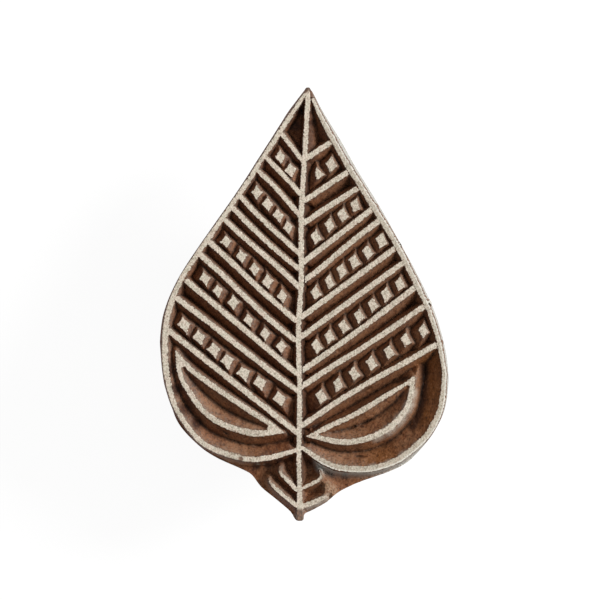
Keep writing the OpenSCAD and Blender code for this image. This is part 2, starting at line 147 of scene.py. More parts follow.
# The upper and the lower line of each half moon: points, half widths along the line, and the slopes of
# the walls on its left and right
moon_lines = [
    ([(-33.4, -12.2), (-29.9, -16.6), (-24.5, -20.8), (-14.1, -27.8), (-5.4, -33.4)],
     [(0, 0.1), (5, 0.66), (28, 0.7), (31, 0.66), (35, 0.12)], 3.0, 1.25),
    ([(-33.4, -12.2), (-32.2, -18.5), (-30.2, -22.4), (-27.1, -26.8), (-23.2, -30.2), (-18.0, -32.5),
      (-12.8, -33.6), (-8.9, -33.5), (-5.4, -33.4)],
     [(0, 0.1), (5, 0.64), (27, 0.7), (32, 0.92), (36, 0.7), (39.7, 0.12)], 1.1, 1.35),
    ([(0.7, -34.4), (4.0, -33.05), (8.0, -31.1), (12.0, -29.3), (16.0, -27.1), (20.0, -24.6),
      (26.0, -21.0), (28.3, -19.4)],
     [(0, 0.1), (4, 0.62), (20, 0.68), (32, 0.4)], 3.0, 1.3),
    ([(0.7, -34.4), (4.0, -34.8), (8.0, -35.7), (12.0, -35.85), (16.0, -35.1), (20.0, -33.5),
      (22.0, -32.3), (24.0, -30.5), (26.1, -28.0), (27.15, -26.0), (27.65, -24.0), (27.95, -22.0),
      (28.3, -19.4)],
     [(0, 0.1), (4, 0.66), (14, 0.76), (26, 0.76), (34, 0.62), (41, 0.5)], 1.0, 1.7),
]
# The solid points where the two lines of a moon meet, with their half widths
moon_points = [
    ([(-33.3, -12.4), (-31.9, -15.6)], [(0, 0.1), (1.5, 0.5), (3.5, 0.8)]),
    ([(-5.6, -33.35), (-9.0, -32.4)], [(0, 0.1), (3.5, 0.75)]),
    ([(0.9, -34.35), (3.4, -34.0)], [(0, 0.1), (2.5, 0.45)]),
    ([(28.3, -19.5), (27.5, -20.9)], [(0, 0.4), (1.6, 0.5)]),
]
point_wall = 3.0

# Chevrons on the stem, from the midrib outwards, with their half widths along them
chevrons = [
    ([(-2.0, -48.4), (-4.2, -46.0), (-5.65, -44.6), (-6.2, -43.6), (-6.3, -42.4)],
     [(0, 0.4), (3, 0.5), (5.5, 0.45), (7.5, 0.3)]),
    ([(-2.0, -52.5), (-5.0, -50.05), (-6.55, -48.75), (-8.65, -46.7), (-9.15, -45.6)],
     [(0, 0.5), (7.5, 0.48), (9, 0.3), (10.5, 0.08)]),
    ([(-0.5, -47.85), (2.15, -46.65), (4.1, -45.5), (4.25, -44.5), (3.95, -43.4)],
     [(0, 0.42), (3, 0.52), (4.8, 0.5), (5.8, 0.34), (7.2, 0.12)]),
    ([(-0.3, -52.6), (2.3, -51.65), (5.2, -50.3)], [(0, 0.6), (3, 0.66), (6, 0.5)]),
]
chevron_wall = 2.6

# Ridges that were left lower than the face: their line, half width, and depth at both ends
low_ridges = [
    ([(28.8, -19.0), (29.6, -16.6)], 0.1, (0.3, 1.6)),
    ([(5.2, -46.0), (6.2, -47.2), (6.0, -48.5), (5.6, -49.6)], 0.45, (1.2, 0.9)),
    ([(6.8, -47.0), (7.3, -48.5), (7.6, -49.8)], 0.4, (1.6, 1.3)),
]
ridge_slope = 1.6

# A stud's corners from its middle, in order up, right, down and left, and the slopes of the four sides
# that start at them. The side towards the midrib falls gently, and the side towards the rim is steep.
left_corners = [(-0.2, 2.0), (1.5, 0.2), (0.3, -2.05), (-1.5, -0.1)]
low_left_corners = [(-0.4, 2.0), (1.7, 0.45), (0.7, -2.35), (-1.8, 0.0)]
right_corners = [(0.05, 2.1), (1.6, -0.6), (-0.2, -2.05), (-1.4, 0.5)]
narrow_corners = [(-0.2, 1.9), (1.6, -0.3), (-0.6, -1.9), (-1.1, 0.6)]
left_sides = [2.6, 1.05, 2.6, 1.7]
right_sides = [2.2, 2.6, 1.05, 2.6]
left_hollow = 0.15
right_hollow = 0.1
# Rows of studs from the tip down, each with the middles of its studs from the rim to the midrib
left_rows = [
    [(-6.2, 38.3), (-3.5, 34.9)],
    [(-12.3, 29.0), (-9.5, 26.0), (-6.8, 23.0), (-4.3, 19.9)],
    [(-20.3, 16.2), (-16.4, 12.4), (-13.0, 9.1), (-9.5, 5.8), (-5.7, 2.0)],
    [(-25.9, 6.7), (-22.4, 3.5), (-18.5, 0.4), (-14.5, -4.1), (-10.2, -7.7), (-6.0, -11.0)],
]
low_left_row = [
    (-31.3, -5.4), (-27.4, -8.7), (-23.6, -12.0), (-20.1, -14.8), (-15.8, -17.9), (-11.5, -20.5),
    (-6.5, -24.6),
]
right_rows = [
    [(7.0, 36.3)],
    [(13.2, 25.6), (10.0, 23.1), (6.5, 20.5), (3.0, 17.4)],
    [(20.0, 16.4), (16.5, 13.5), (13.0, 11.0), (9.7, 8.6), (6.5, 5.7), (2.9, 2.9)],
    [(24.8, 5.2), (21.3, 2.5), (17.8, -0.2), (14.2, -3.1), (10.3, -5.8), (6.5, -8.5), (3.1, -10.9)],
    [(31.0, -7.0), (26.4, -9.4), (22.0, -12.5), (17.4, -15.4), (13.0, -18.1), (8.7, -20.9), (4.4, -24.0)],
]
narrow_stud = (3.6, 34.0)
# How much the hand turned and resized a stud and moved its corners
stud_turn = 0.05
stud_spread = 0.03
corner_stray = 0.09

# Slips of the chisel: nicks and dents in the tops with a radius, and gouges with an angle and a length
nicks = [((1.95, 53.9), 0.35), ((-1.5, 16.4), 0.3)]
dents = [((-16.5, -40.3), 0.5)]
dent_depth = 0.12
gouges = [
    ((12.5, -32.2), 26, 2.2), ((16.4, -30.7), 27, 3.4), ((14.3, -39.7), -5, 2.6), ((16.0, -22.3), 30, 3.0),
    ((-12.0, -37.0), 8, 2.0), ((-20.5, -33.5), -32, 2.4),
]
gouge_half = 0.28
gouge_depth = 0.7

# Places where the lime is worn off, with a radius
bare_places = [((0.2, 55.9), 1.0), ((-1.2, -55.6), 2.2), ((-6.35, -42.5), 0.9), ((-16.5, -40.3), 0.6)]
# Places where the dye wore off to a tan and where the wood shows its own golden colour, and places darkened
# as painted shade, each with a radius
tan_places = [
    ((20.0, -28.0), 5.0), ((12.0, -33.0), 5.0), ((9.0, -39.5), 5.5), ((18.0, -39.0), 5.5),
    ((26.0, -35.0), 4.0), ((-23.5, -26.5), 4.0), ((-14.5, -32.0), 4.0), ((-17.0, -37.5), 5.0),
    ((2.5, -45.0), 3.5), ((6.3, -48.0), 2.4), ((29.2, -18.0), 1.6), ((28.6, -25.0), 2.0),
    ((3.0, -49.5), 2.5), ((-8.5, -45.5), 3.5), ((2.8, -51.6), 1.8), ((5.0, -50.6), 1.5),
]
golden_places = [((33.0, -15.0), 4.0), ((33.0, -22.0), 4.5), ((31.0, -29.0), 3.5), ((20.5, -42.0), 5.0)]
shade_places = [
    ((2.0, 50.0), 1.3), ((1.9, 47.5), 1.3), ((-1.2, 50.5), 1.6), ((-2.4, 46.5), 1.6),
    ((-34.2, -17.0), 1.9), ((-33.3, -22.0), 1.9), ((-31.0, -27.0), 1.8), ((-27.8, -31.0), 1.6),
    ((-12.5, -42.3), 1.1), ((-9.5, -41.9), 1.2), ((-6.5, -41.1), 1.1), ((-3.5, -40.2), 1.0),
    ((1.5, -41.3), 1.2), ((4.0, -42.7), 1.0), ((7.0, -43.8), 0.9), ((10.5, -44.5), 0.8),
]
# A band along the foot of the right moon's outer wall is darkened too, as painted shade
shade_band = [(31.1, -16.5), (31.3, -20.5), (30.9, -25.0), (29.7, -29.5), (28.2, -32.0)]
band_radius = 1.1
# Places beside a line where the lime ran down its wall
limed_places = [
    ((19.5, -35.0), 1.6), ((22.5, -33.4), 1.9), ((25.4, -30.6), 2.0), ((27.8, -27.0), 1.8),
    ((28.8, -23.5), 1.4), ((13.5, -44.0), 1.6), ((18.0, -43.8), 1.8), ((22.5, -42.6), 1.8),
    ((26.5, -40.2), 1.8), ((30.0, -37.6), 1.6), ((1.5, -53.3), 1.3), ((3.8, -52.3), 1.6),
    ((6.2, -51.0), 1.5), ((-12.0, -42.1), 0.5), ((-10.5, -42.1), 0.4),
]
# Places on the stem's right side where the wood crumbled under the chisel
crumbled_places = [
    ((5.6, -47.4), 1.3), ((7.1, -48.4), 1.3), ((6.4, -50.0), 1.0), ((4.5, -44.6), 0.7),
]

# Layers of unevenness, each with its height, the size of its bumps and its seed: the strays of a hand-cut
# edge, the fine roughness of the walls and the crumbled wood
edge_strays = [(0.09, 4.5, 3.1), (0.06, 1.3, 8.2), (0.08, 0.6, 1.7)]
wall_roughness = [(0.10, 1.1, 5.0)]
crumbs = [(0.5, 0.8, 6.3), (0.3, 0.4, 9.1)]
# A wall strays more than its edge does. The flat cuts that the chisel left have a size and a depth
wall_stray = 2.0
facet_size = 2.6
facet_depth = 0.22
# How nearly level two walls are where painted shade darkens the valley between them, and how high a ridge
# stands to hide it
valley_reach = 1.7
ridge_cover = 0.8

path_step = 1.0
grid_pitch = 0.3
far_away = 99.0
hand = np.random.default_rng(7)


def smooth_path(points):
    """A smooth curve that passes through the points, as closely spaced points."""
    known = np.array(points, float)
    padded = np.vstack([2 * known[0] - known[1], known, 2 * known[-1] - known[-2]])
    path = [known[0]]
    for before, start, end, after in zip(padded, padded[1:], padded[2:], padded[3:]):
        count = max(2, round(np.linalg.norm(end - start) / path_step))
        for t in np.arange(1, count + 1) / count:
            bend = (2 * before - 5 * start + 4 * end - after) * t**2
            twist = (3 * start - before - 3 * end + after) * t**3
            path.append(start + ((end - before) * t + bend + twist) / 2)
    return np.array(path)


def along_path(path, marks):
    """A value at each point of a path, from one number or from pairs of a distance and a value."""
    if np.isscalar(marks):
        return np.full(len(path), float(marks))
    steps = np.linalg.norm(np.diff(path, axis=0), axis=1)
    return np.interp(np.concatenate([[0], np.cumsum(steps)]), *np.transpose(marks))


def raised_line(points, half, left_wall, right_wall, sunk=(0.0, 0.0), cuts=()):
    """A line that stands out of the wood: its path, half widths, the slopes of its walls, and its depth.

    Each cut names another line, and the width of the knife cut that parts this one from it.
    """
    path = smooth_path(points)
    left = along_path(path, left_wall)
    right = along_path(path, right_wall)
    for end in (0, -1):
        left[end] = right[end] = max(left[end], right[end])
    depth = np.linspace(sunk[0], sunk[1], len(path))
    return path, along_path(path, half), left, right, depth, cuts


def beside_line(places, line, reach=9.0):
    """How far each place lies outside a line's top, and how deep the line's wall is there."""
    path, half, left, right, depth, cuts = line
    gap = np.full(len(places), far_away)
    wall = np.full(len(places), far_away)
    low = path.min(axis=0) - reach
    high = path.max(axis=0) + reach
    near = np.flatnonzero(np.all((places > low) & (places < high), axis=1))
    close = places[near]
    for i in range(len(path) - 1):
        run = path[i + 1] - path[i]
        offset = close - path[i]
        share = np.clip(offset @ run / (run @ run), 0, 1)
        out = np.linalg.norm(offset - share[:, None] * run, axis=1)
        out -= half[i] + share * (half[i + 1] - half[i])
        on_left = run[0] * offset[:, 1] > run[1] * offset[:, 0]
        left_slope = left[i] + share * (left[i + 1] - left[i])
        right_slope = right[i] + share * (right[i + 1] - right[i])
        slope = np.where(on_left, left_slope, right_slope)
        closer = out < gap[near]
        chosen = near[closer]
        gap[chosen] = out[closer]
        wall[chosen] = (depth[i] + share * (depth[i + 1] - depth[i]) + slope * np.maximum(out, 0))[closer]
    for other, width in cuts:
        beside = np.flatnonzero(gap < 2)
        into_cut = width - beside_line(places[beside], other)[0]
        gap[beside] = np.maximum(gap[beside], into_cut)
        wall[beside] = np.maximum(wall[beside], knife_wall * into_cut)
    return gap, wall


rims = [
    raised_line(left_rim, left_rim_half, left_inner_wall, left_outer_wall),
    raised_line(right_rim, right_rim_half, right_outer_wall, right_inner_wall),
]
spine = raised_line(midrib, midrib_half, midrib_left_wall, midrib_right_wall)
lines = rims + [spine]
veins = []


def add_veins(drawn, rim, halves, left_wall, right_wall):
    """Adds the veins of one side, whose half width runs from the first of two values to the other."""
    for (points, rim_cut, midrib_cut), half in zip(drawn, np.linspace(*halves, len(drawn))):
        cuts = [(line, width) for line, width in ((rim, rim_cut), (spine, midrib_cut)) if width]
        veins.append(raised_line(points, half, left_wall, right_wall, cuts=cuts))


add_veins(left_veins, rims[0], left_vein_half, upper_wall, lower_wall)
add_veins(right_veins, rims[1], right_vein_half, lower_wall, upper_wall)
for points, half, left_wall, right_wall in moon_lines:
    lines.append(raised_line(points, half, left_wall, right_wall))
for points, half in moon_points:
    lines.append(raised_line(points, half, point_wall, point_wall))
for points, half in chevrons:
    lines.append(raised_line(points, half, chevron_wall, chevron_wall))
ridges = [raised_line(points, half, ridge_slope, ridge_slope, sunk) for points, half, sunk in low_ridges]

studs = []


def add_stud(middle, corners, sides, hollow):
    """Keeps the corners of a stud as a hand would place them, and its sides."""
    turn = hand.normal(0, stud_turn)
    spin = np.array([[math.cos(turn), math.sin(turn)], [-math.sin(turn), math.cos(turn)]])
    size = 1 + hand.normal(0, stud_spread)
    placed = middle + size * (np.array(corners) + hand.normal(0, corner_stray, (4, 2))) @ spin
    studs.append((placed, sides, hollow))


for row in left_rows:
    for middle in row:
        add_stud(middle, left_corners, left_sides, left_hollow)
for middle in low_left_row:
    add_stud(middle, low_left_corners, left_sides, left_hollow)
for row in right_rows:
    for middle in row:
        add_stud(middle, right_corners, right_sides, right_hollow)
add_stud(narrow_stud, narrow_corners, right_sides, right_hollow)


def beside_stud(places, stud):
    """How far each place lies outside a stud's hollow sides, and how deep the stud's wall is there."""
    corners, sides, hollow = stud
    gap = np.full(len(places), -far_away)
    wall = np.zeros(len(places))
    for start, end, slope in zip(corners, np.roll(corners, -1, axis=0), sides):
        chord = end - start
        length = np.linalg.norm(chord)
        outward = np.array([-chord[1], chord[0]]) / length
        radius = (length**2 / 4 + hollow**2) / (2 * hollow)
        centre = (start + end) / 2 + outward * (radius - hollow)
        inside_arc = radius - np.linalg.norm(places - centre, axis=1)
        out = np.maximum(inside_arc, (places - start) @ outward)
        gap = np.maximum(gap, out)
        wall = np.maximum(wall, slope * out)
    return gap, wall


outline = np.vstack([smooth_path(left_outline)[::-1], smooth_path(right_outline)])
outline = np.clip(outline, low_corner, high_corner)
rim_loop = np.vstack([rims[0][0][::-1], rims[1][0]])


def outside_loop(places, loop):
    """How far each place lies outside a closed loop; below zero inside it."""
    nearest = np.full(len(places), far_away)
    inside = np.zeros(len(places), bool)
    for start, end in zip(loop, np.roll(loop, -1, axis=0)):
        run = end - start
        share = np.clip((places - start) @ run / (run @ run), 0, 1)
        nearest = np.minimum(nearest, np.linalg.norm(places - start - share[:, None] * run, axis=1))
        crosses = (start[1] > places[:, 1]) != (end[1] > places[:, 1])
        rise = run[1] if run[1] else 1e-9
        inside ^= crosses & (places[:, 0] < start[0] + (places[:, 1] - start[1]) / rise * run[0])
    return np.where(inside, -nearest, nearest)


def outside_block(places):
    """How far each place lies outside the sawn edge; below zero on the block."""
    return outside_loop(places, outline)


def hand_noise(places, size, seed):
    """Smooth noise with bumps of the given size, between about -1 and 1."""
    return np.array([noise.noise((x / size, y / size, seed)) for x, y in places])


def unevenness(places, layers):
    """Layers of noise laid over one another."""
    return sum(height * hand_noise(places, size, seed) for height, size, seed in layers)


def outside_tops(places):
    """How far each place lies outside all the tops; below zero on a top."""
    nearest = np.full(len(places), far_away)
    for line in lines + veins:
        nearest = np.minimum(nearest, beside_line(places, line, 1.5)[0])
    for stud in studs:
        nearest = np.minimum(nearest, beside_stud(places, stud)[0])
    for middle, radius in nicks:
        nearest = np.maximum(nearest, radius - np.linalg.norm(places - middle, axis=1))
    return nearest + unevenness(places, edge_strays)


def cut_along(places, triangles, field):
    """Moves or adds points so that the triangles' edges follow the line where the field is zero."""
    value = field(places)
    close = np.flatnonzero(np.abs(value) < 0.25 * grid_pitch)
    step = 0.02
    slope = np.stack([
        field(places[close] + (step, 0)) - field(places[close] - (step, 0)),
        field(places[close] + (0, step)) - field(places[close] - (0, step)),
    ], axis=1) / (2 * step)
    steepness = np.maximum((slope**2).sum(axis=1), 0.25)
    places = places.copy()
    places[close] -= (value[close] / steepness)[:, None] * slope
    value[close] = 0
    points = list(places)
    values = list(value)
    middles = {}

    def crossing(a, b):
        key = (min(a, b), max(a, b))
        if key not in middles:
            share = values[a] / (values[a] - values[b])
            middles[key] = len(points)
            points.append(points[a] + share * (points[b] - points[a]))
            values.append(0.0)
        return middles[key]

    side = np.sign(value)[triangles]
    crossed = (side.min(axis=1) < 0) & (side.max(axis=1) > 0)
    kept = [tuple(t) for t in triangles[~crossed]]
    for a, b, c in triangles[crossed]:
        while not (values[a] * values[b] < 0 and values[a] * values[c] <= 0):
            a, b, c = b, c, a
        ab = crossing(a, b)
        if values[c] == 0:
            kept += [(a, ab, c), (ab, b, c)]
        else:
            ac = crossing(a, c)
            kept += [(a, ab, ac), (ab, b, c), (ab, c, ac)]
    return np.array(points), np.array(kept), np.array(values)


columns, rows = (
    np.arange(low - grid_pitch, high + 2 * grid_pitch, grid_pitch)
    for low, high in zip(low_corner, high_corner)
)
places = np.stack(np.meshgrid(columns, rows), axis=-1).reshape(-1, 2)
corner = np.arange(len(places)).reshape(len(rows), len(columns))
a, b, c, d = (q.ravel() for q in (corner[:-1, :-1], corner[:-1, 1:], corner[1:, 1:], corner[1:, :-1]))
even = ((np.arange(len(rows) - 1)[:, None] + np.arange(len(columns) - 1)) % 2 == 0).ravel()
triangles = np.concatenate([
    np.stack([a, b, np.where(even, c, d)], axis=1),
    np.stack([np.where(even, a, b), c, d], axis=1),
])
edge_gap = outside_block(places)
triangles = triangles[(edge_gap[triangles] < 2 * grid_pitch).all(axis=1)]
used = np.unique(triangles)
triangles = np.searchsorted(used, triangles)
places, triangles, _ = cut_along(places[used], triangles, outside_tops)
places, triangles, edge_gap = cut_along(places, triangles, outside_block)
triangles = triangles[edge_gap[triangles].mean(axis=1) < 0]
used = np.unique(triangles)
triangles = np.searchsorted(used, triangles)
places = places[used]


def chisel_facets(places, size):
    """Tilt of the flat cuts that a chisel leaves: each place lies on its nearest cut."""
    first = np.floor(places.min(axis=0) / size).astype(int) - 2
    count = np.floor(places.max(axis=0) / size).astype(int) - first + 4
    middles = np.stack(np.meshgrid(*(np.arange(n) for n in count), indexing="ij"), axis=-1) + first
    middles = (middles + hand.uniform(0, 1, middles.shape)) * size
    tilts = hand.uniform(-1, 1, middles.shape)
    cell = np.floor(places / size).astype(int) - first
    nearest = np.full(len(places), far_away)
    height = np.zeros(len(places))
    for step_x in (-1, 0, 1):
        for step_y in (-1, 0, 1):
            column = cell[:, 0] + step_x
            row = cell[:, 1] + step_y
            offset = places - middles[column, row]
            gap = np.linalg.norm(offset, axis=1)
            closer = gap < nearest
            nearest[closer] = gap[closer]
            height[closer] = (offset * tilts[column, row]).sum(axis=1)[closer]
    return height / size


# Every place is as deep as the shallowest wall that reaches it, so walls meet in a valley
strays = unevenness(places, edge_strays)
outside_rim = outside_loop(places, rim_loop)
on_skirt = outside_rim > 0
walls = [beside_line(places, line)[1] for line in lines]
walls += [np.where(on_skirt, far_away, beside_line(places, vein)[1]) for vein in veins]
walls += [beside_stud(places, stud)[1] for stud in studs]
skirt = skirt_depth - skirt_rise * np.clip(outside_rim - 2, 0, 3)
walls.append(np.where(on_skirt, skirt, ground_depth))
lowest, second = np.partition(np.stack(walls), 1, axis=0)[:2]
# The valley mark darkens the crease where two walls meet, as painted shade
valley = np.clip(1 - (second - lowest) / valley_reach, 0, 1) * np.clip(lowest - 0.5, 0, 1) * ~on_skirt
for ridge in ridges:
    ridge_wall = beside_line(places, ridge)[1]
    valley *= np.clip(1 - (lowest - ridge_wall) / ridge_cover, 0, 1)
    lowest = np.minimum(lowest, ridge_wall)
top_gap = outside_tops(places)
on_top = top_gap <= 1e-3
rough = np.clip(lowest / 1.5, 0, 1)
depth = lowest + wall_stray * strays * np.clip(lowest / 0.5, 0, 1)
facets = facet_depth * chisel_facets(places, facet_size)
depth += rough * (facets + unevenness(places, wall_roughness))


def near_places(marked_places, softness):
    """1 at the middle of the marked places, falling to 0 outside their radius."""
    share = np.zeros(len(places))
    for middle, radius in marked_places:
        out = np.linalg.norm(places - middle, axis=1) / radius
        share = np.maximum(share, np.clip((1 + softness - out) / (2 * softness), 0, 1))
    return share


crumbled = near_places(crumbled_places, 0.4) * np.clip(lowest / 0.4, 0, 1)
depth += crumbled * unevenness(places, crumbs)
for middle, angle, length in gouges:
    way = np.array([math.cos(math.radians(angle)), math.sin(math.radians(angle))])
    offset = places - middle
    along = offset @ way
    across = offset @ (-way[1], way[0])
    cut = np.exp(-(2 * along / length)**4 - (across / gouge_half)**2)
    depth += gouge_depth * cut * rough
    # Gouges get the same painted shade as the valleys
    valley = np.maximum(valley, cut * rough)
depth = np.clip(depth, least_depth, relief_depth)
depth[on_top] = 0
for middle, radius in dents:
    out = np.linalg.norm(places - middle, axis=1) / radius
    depth += dent_depth * np.clip(1 - out**2, 0, 1)

# What the material has to know of each place on the face
x, y = places.T
right_half = np.clip((x - 2) / 2, 0, 1)
band_places = [(middle, band_radius) for middle in smooth_path(shade_band)]
# Painted shade: the wall on the right of the midrib is darkened
beside_spine = np.clip(1.6 - beside_line(places, spine)[0], 0, 1) * np.clip(y + 47, 0, 1)
right_of_spine = x > np.interp(-y, -spine[0][:, 1], spine[0][:, 0])
painted_shade = np.maximum(near_places(shade_places + band_places, 0.5), 0.75 * beside_spine * right_of_spine)
# Outside the right rim the lime ran down over the edge, and there it is also a painted highlight on the
# wall that faces the window
lime_run_and_highlight = right_half * np.clip((y + 46) / 4, 0, 1)
lime_run_and_highlight *= on_skirt * np.clip(2.3 - outside_rim / 1.6, 0, 1)
face_marks = {
    "valley": valley,
    "bare": near_places(bare_places, 0.5),
    "tanned": np.maximum(near_places(tan_places, 0.6), 0.5 * np.clip((x - 2) / 4, 0, 1)),
    "golden": near_places(golden_places, 0.6),
    "painted_shade": painted_shade,
    "crumbled": crumbled,
    "lime_run_and_highlight": lime_run_and_highlight,
    "limed": near_places(limed_places, 0.5) * np.clip(1.2 - top_gap / 1.3, 0, 1),
    "right_rim_top": right_half * np.clip(1.6 - np.abs(outside_rim) / 0.8, 0, 1),
}

# The sawn side hangs from the loose edge of the face, in rings down to the back
directed = np.concatenate([triangles[:, [0, 1]], triangles[:, [1, 2]], triangles[:, [2, 0]]])
pairs = {(int(p), int(q)) for p, q in directed}
following = {p: q for p, q in pairs if (q, p) not in pairs}
loop = [min(following)]
while following[loop[-1]] != loop[0]:
    loop.append(following[loop[-1]])
edge_places = places[loop]
probe = 0.3
outward = np.stack([
    outside_block(edge_places + (probe, 0)) - outside_block(edge_places - (probe, 0)),
    outside_block(edge_places + (0, probe)) - outside_block(edge_places - (0, probe)),
], axis=1)
outward /= np.linalg.norm(outward, axis=1)[:, None]
# How far down the side each ring lies, and how far inwards the saw strayed, except at the sharp ends
side_shares = [0.06, 0.16, 0.3, 0.45, 0.6, 0.75, 0.88, 0.97, 1.0]
saw_inset = 0.1 + 0.3 * np.abs(hand_noise(edge_places, 7.0, 2.0))
saw_inset += 0.06 * hand_noise(edge_places, 1.6, 4.0)
back_chamfer = 0.5
sharp_ends = np.array([left_outline[0], right_outline[0], left_outline[-1], right_outline[-1]])
from_ends = np.linalg.norm(edge_places[:, None] - sharp_ends, axis=2).min(axis=1)
blunt = np.clip((from_ends - 0.6) / 4, 0, 1)
block_points = [np.column_stack([places, face_z - depth])]
for share in side_shares:
    inset = saw_inset * min(1, share / side_shares[1])
    if share == 1:
        inset = inset + back_chamfer
    level = (face_z - depth[loop]) * (1 - share) + back_z * share
    block_points.append(np.column_stack([edge_places - outward * (inset * blunt)[:, None], level]))
block_faces = [tuple(int(i) for i in t) for t in triangles]
above = loop


def ring_numbers(first, count):
    """The numbers of a ring's points, in order round it."""
    return list(range(first, first + count))


def ring_wall(above, below):
    """Faces between two rings of point numbers."""
    return list(zip(above, below, below[1:] + below[:1], above[1:] + above[:1]))


for ring in range(len(side_shares)):
    below = ring_numbers(len(places) + ring * len(loop), len(loop))
    block_faces += ring_wall(above, below)
    above = below

# In the back are two blind bores for the nails
nail_middles = []
for node in ("tip_nail", "stem_nail"):
    nail_low, nail_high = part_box(node)
    nail_middles.append(np.array([nail_low.x + nail_high.x, nail_low.y + nail_high.y]) / 2 / MM)
nail_end = nail_high.z / MM
bore_radius = 1.35
bore_spare = 0.3
hole_turns = np.radians(np.arange(24) * 15)


def hole_ring(middle, radius, level):
    """Points of a round hole's edge, in order round it."""
    return np.column_stack([
        middle[0] + radius * np.cos(hole_turns), middle[1] + radius * np.sin(hole_turns),
        np.full(len(hole_turns), level),
    ])


def flat_face(points, rings, holes):
    """Triangles that fill the first ring of point numbers and leave out the round holes in it."""
    numbers = [n for ring in rings for n in ring]
    edges = []
    first = 0
    for ring in rings:
        edges += [(first + i, first + (i + 1) % len(ring)) for i in range(len(ring))]
        first += len(ring)
    flat = [Vector(points[n][:2]) for n in numbers]
    made = geometry.delaunay_2d_cdt(flat, edges, [], 1, 1e-6)
    filled = []
    for face in made[2]:
        corners = [numbers[made[3][i][0]] for i in face]
        centre = np.mean([points[n][:2] for n in corners], axis=0)
        if all(np.linalg.norm(centre - middle) > 0.98 * radius for middle, radius in holes):
            filled.append(tuple(corners))
    return filled


rings = [above]
for middle in nail_middles:
    first = sum(len(p) for p in block_points)
    block_points.append(hole_ring(middle, bore_radius, back_z))
    block_points.append(hole_ring(middle, bore_radius, nail_end + bore_spare))
    mouth = ring_numbers(first, len(hole_turns))
    end = ring_numbers(first + len(hole_turns), len(hole_turns))
    block_faces += ring_wall(mouth, end)
    block_faces.append(tuple(reversed(end)))
    rings.append(mouth)
bores = [(middle, bore_radius) for middle in nail_middles]
block_faces += [face[::-1] for face in flat_face(np.vstack(block_points), rings, bores)]


def add_object(name, data):
    """A new object in the scene, from its mesh, light or camera."""
    made = bpy.data.objects.new(name, data)
    bpy.context.scene.collection.objects.link(made)
    return made


def add_piece(name, points, faces, sharp_degrees):
    """A new object from points in millimetres, smooth except along its sharp edges."""
    mesh = bpy.data.meshes.new(name)
    mesh.from_pydata((np.asarray(points) * MM).tolist(), [], faces)
    mesh.validate()
    mesh.shade_smooth()
    mesh.set_sharp_from_angle(angle=math.radians(sharp_degrees))
    return add_object(name, mesh)


def mark_points(piece, name, values, rest=0):
    """Keeps values at the mesh's first points for the material to read, and one value at the others."""
    padded = np.pad(values, (0, len(piece.data.vertices) - len(values)), constant_values=rest)
    mark = piece.data.attributes.new(name, "FLOAT", "POINT")
    mark.data.foreach_set("value", padded.astype(np.float32))


block = add_piece("leaf_block", np.vstack(block_points), block_faces, 40)
normals = np.zeros(3 * len(block.data.vertices))
block.data.vertex_normals.foreach_get("vector", normals)
normals = normals.reshape(-1, 3)
# Painted light: walls that face the window on the right are paled as a painted highlight, and walls that
# face away are darkened as painted shade. The painted highlight, the painted shade and the drips down the
# sides each reach to a depth of their own.
window_x, window_y = (0.9, 0.35)
highlight_reach = 1.7
shaded_side_reach = 2.5
drip_reach = 6.0
towards_window = np.clip(normals[:, 0] * window_x + normals[:, 1] * window_y, -1, 1)
deep = np.concatenate([depth, face_z - np.vstack(block_points[1:])[:, 2]])
painted_highlight = np.clip(towards_window, 0, 1) * np.exp(-deep / highlight_reach)
painted_highlight[:len(places)] *= 1 - 0.9 * painted_shade
for name, values in face_marks.items():
    mark_points(block, name, values)
mark_points(block, "sawn", np.zeros(len(places)), 1)
mark_points(block, "near_face", np.exp(-deep / drip_reach))
mark_points(block, "inside_top", np.clip(-top_gap, -2, 2), -2)
# Painted highlight on the walls that face the window
mark_points(block, "painted_highlight", painted_highlight)
# Painted shade on the walls that face away from the window
mark_points(block, "shaded_side", np.clip(-towards_window, 0, 1) * np.exp(-deep / shaded_side_reach))


def add_node(tree, kind, inputs=None, **settings):
    """Adds a node, with its settings, and its inputs filled by numbers, colours or other outputs."""
    made = tree.nodes.new(kind)
    for name, value in settings.items():
        setattr(made, name, value)
    for name, value in (inputs or {}).items():
        if isinstance(value, bpy.types.NodeSocket):
            tree.links.new(value, made.inputs[name])
        else:
            made.inputs[name].default_value = value
    return made


def new_finish(name):
    """An empty material: its node tree, its shader and the place on the piece in millimetres."""
    material = bpy.data.materials.new(name)
    material.use_nodes = True
    tree = material.node_tree
    place = add_node(tree, "ShaderNodeTexCoord").outputs["Object"]
    scaled = add_node(tree, "ShaderNodeVectorMath", {0: place, "Scale": 1 / MM}, operation="SCALE")
    return material, tree, tree.nodes["Principled BSDF"], scaled.outputs["Vector"]


def worked_out(tree, operation, first, second=0.0, third=0.0):
    """The result of a sum on two or three values."""
    made = add_node(tree, "ShaderNodeMath", {0: first, 1: second, 2: third}, operation=operation)
    return made.outputs[0]


def grain_noise(tree, place, per_mm, detail=4.0, roughness=0.55):
    """Noise with so many bumps per millimetre along X, Y and Z."""
    stretched = add_node(tree, "ShaderNodeMapping", {"Vector": place, "Scale": per_mm})
    made = add_node(tree, "ShaderNodeTexNoise", {
        "Vector": stretched.outputs["Vector"], "Scale": 1.0, "Detail": detail, "Roughness": roughness,
    })
    return made.outputs["Fac"]


def between(tree, value, low, high):
    """A smooth change from 0 where the value is at low to 1 at high, which may be the lesser of the two."""
    made = add_node(tree, "ShaderNodeMapRange", {
        "Value": value, "From Min": low, "From Max": high, "To Min": 0.0, "To Max": 1.0,
    }, interpolation_type="SMOOTHSTEP")
    return made.outputs["Result"]


